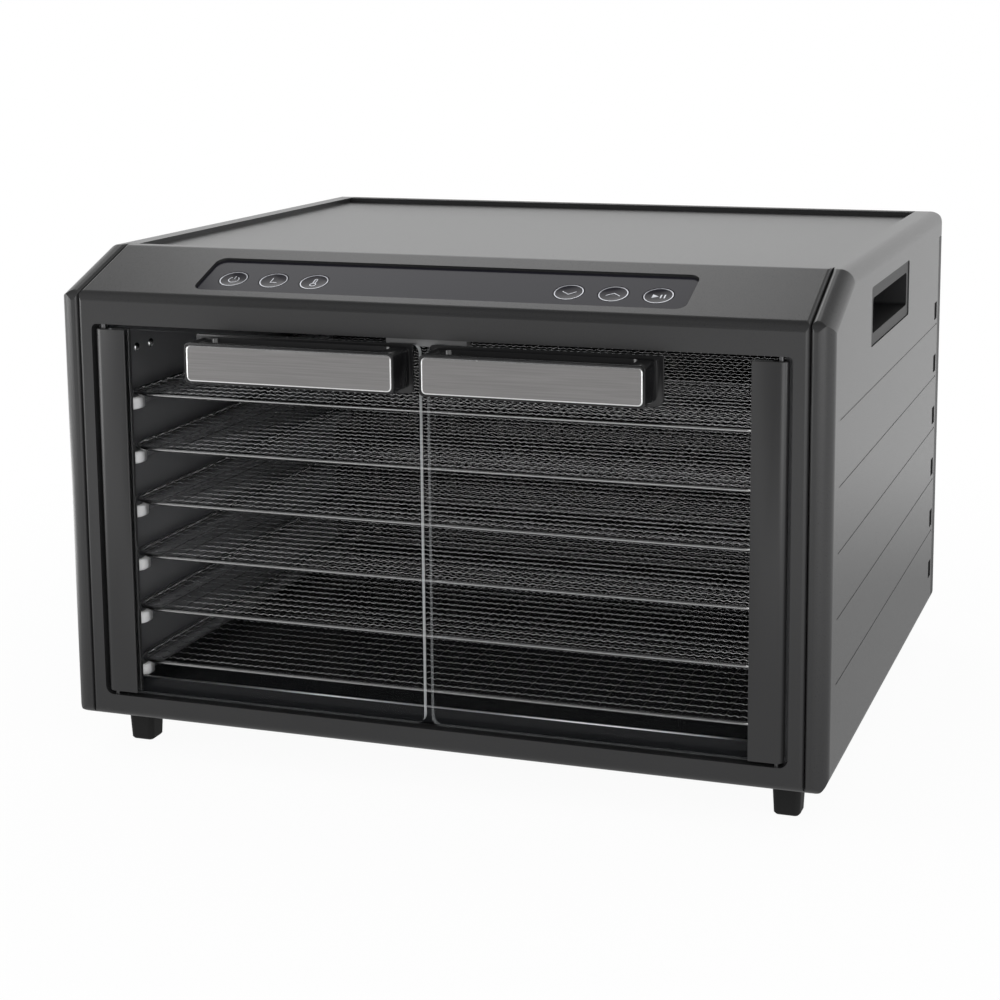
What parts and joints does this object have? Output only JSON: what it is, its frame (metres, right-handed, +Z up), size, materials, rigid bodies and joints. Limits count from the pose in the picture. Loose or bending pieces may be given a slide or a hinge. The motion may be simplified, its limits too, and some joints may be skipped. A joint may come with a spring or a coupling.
{
  "type": "food dehydrator",
  "caption": "Countertop cabinet food dehydrator with clear double swing doors, wire mesh trays on rails, a sloped control fascia and a rear fan.",
  "frame": {"origin": "middle of the whole footprint, on the surface that the feet stand on", "axes": "+X to the right seen from the front, +Y to the back, +Z up"},
  "size_m": [0.43, 0.398, 0.284],
  "materials": {
    "shell_plastic": "fine matt moulded, dark grey",
    "stile_plastic": "satin black moulded",
    "liner_plastic": "matt black moulded",
    "clear_plastic": "clear polished pane",
    "brushed_plate": "horizontally brushed",
    "wire_steel": "bright plated wire",
    "bright_steel": "plain bright steel",
    "sheet_metal": "plain sheet",
    "overlay_gloss": "gloss black overlay",
    "board_green": "green circuit board",
    "foot_rubber": "matt black rubber"
  },
  "bodies": {
    "cabinet": {"left_side_shell": "shell_plastic", "right_side_shell": "shell_plastic", "front_bezel": "shell_plastic", "top_panel": "shell_plastic", "base_pan": "shell_plastic", "rear_cover": "shell_plastic", "left_liner": "liner_plastic", "right_liner": "liner_plastic", "liner_ceiling": "liner_plastic", "liner_floor": "liner_plastic", "rear_baffle": "liner_plastic", "fan_housing": "sheet_metal", "temperature_sensor": "bright_steel", "fan_motor": "sheet_metal", "heater_element": "bright_steel", "heater_clips": "sheet_metal", "control_overlay": "overlay_gloss", "control_board": "board_green", "power_board": "board_green", "door_catch": "stile_plastic", "power_inlet": "stile_plastic", "left_grip": "shell_plastic", "right_grip": "shell_plastic", "front_left_foot": "foot_rubber", "front_right_foot": "foot_rubber", "rear_left_foot": "foot_rubber", "rear_right_foot": "foot_rubber", "rear_cover_screws": "bright_steel", "base_screws": "bright_steel"},
    "left_door": {"left_door_pane": "clear_plastic", "left_door_stile": "stile_plastic", "left_hinge_pins": "bright_steel", "left_handle": "stile_plastic", "left_handle_plate": "brushed_plate", "left_handle_screws": "bright_steel", "left_strike": "bright_steel"},
    "right_door": {"right_door_pane": "clear_plastic", "right_door_stile": "stile_plastic", "right_hinge_pins": "bright_steel", "right_handle": "stile_plastic", "right_handle_plate": "brushed_plate", "right_handle_screws": "bright_steel", "right_strike": "bright_steel"},
    "fan": {"fan_wheel": "sheet_metal"},
    "tray_1": {"tray_1": "wire_steel"},
    "tray_2": {"tray_2": "wire_steel"},
    "tray_3": {"tray_3": "wire_steel"},
    "tray_4": {"tray_4": "wire_steel"},
    "tray_5": {"tray_5": "wire_steel"},
    "tray_6": {"tray_6": "wire_steel"},
    "crumb_tray": {"crumb_tray": "liner_plastic"},
    "power_button": {"power_button": "overlay_gloss"},
    "timer_button": {"timer_button": "overlay_gloss"},
    "heat_button": {"heat_button": "overlay_gloss"},
    "down_button": {"down_button": "overlay_gloss"},
    "up_button": {"up_button": "overlay_gloss"},
    "start_button": {"start_button": "overlay_gloss"}
  },
  "joints": [
    {"name": "left_door_hinge", "type": "hinge", "parent": "cabinet", "child": "left_door", "pos_m": [-0.1888, -0.17335, 0.1411], "axis": [0, 0, -1], "range_deg": [0, 110]},
    {"name": "right_door_hinge", "type": "hinge", "parent": "cabinet", "child": "right_door", "pos_m": [0.1888, -0.17335, 0.1411], "axis": [0, 0, 1], "range_deg": [0, 110]},
    {"name": "fan_spin", "type": "hinge", "parent": "cabinet", "child": "fan", "pos_m": [0, 0.14705, 0.1411], "axis": [0, 1, 0], "continuous": true},
    {"name": "tray_1_slide", "type": "slide", "parent": "cabinet", "child": "tray_1", "axis": [0, -1, 0], "range_m": [0, 0.0045]},
    {"name": "tray_2_slide", "type": "slide", "parent": "cabinet", "child": "tray_2", "axis": [0, -1, 0], "range_m": [0, 0.0045]},
    {"name": "tray_3_slide", "type": "slide", "parent": "cabinet", "child": "tray_3", "axis": [0, -1, 0], "range_m": [0, 0.0045]},
    {"name": "tray_4_slide", "type": "slide", "parent": "cabinet", "child": "tray_4", "axis": [0, -1, 0], "range_m": [0, 0.0045]},
    {"name": "tray_5_slide", "type": "slide", "parent": "cabinet", "child": "tray_5", "axis": [0, -1, 0], "range_m": [0, 0.0045]},
    {"name": "tray_6_slide", "type": "slide", "parent": "cabinet", "child": "tray_6", "axis": [0, -1, 0], "range_m": [0, 0.0045]},
    {"name": "crumb_tray_slide", "type": "slide", "parent": "cabinet", "child": "crumb_tray", "axis": [0, -1, 0], "range_m": [0, 0.0022]},
    {"name": "power_press", "type": "slide", "parent": "cabinet", "child": "power_button", "axis": [0, 0.3584, -0.9336], "range_m": [0, 0.0008], "stiffness_N_per_m": 900},
    {"name": "timer_press", "type": "slide", "parent": "cabinet", "child": "timer_button", "axis": [0, 0.3584, -0.9336], "range_m": [0, 0.0008], "stiffness_N_per_m": 900},
    {"name": "heat_press", "type": "slide", "parent": "cabinet", "child": "heat_button", "axis": [0, 0.3584, -0.9336], "range_m": [0, 0.0008], "stiffness_N_per_m": 900},
    {"name": "down_press", "type": "slide", "parent": "cabinet", "child": "down_button", "axis": [0, 0.3584, -0.9336], "range_m": [0, 0.0008], "stiffness_N_per_m": 900},
    {"name": "up_press", "type": "slide", "parent": "cabinet", "child": "up_button", "axis": [0, 0.3584, -0.9336], "range_m": [0, 0.0008], "stiffness_N_per_m": 900},
    {"name": "start_press", "type": "slide", "parent": "cabinet", "child": "start_button", "axis": [0, 0.3584, -0.9336], "range_m": [0, 0.0008], "stiffness_N_per_m": 900}
  ]
}
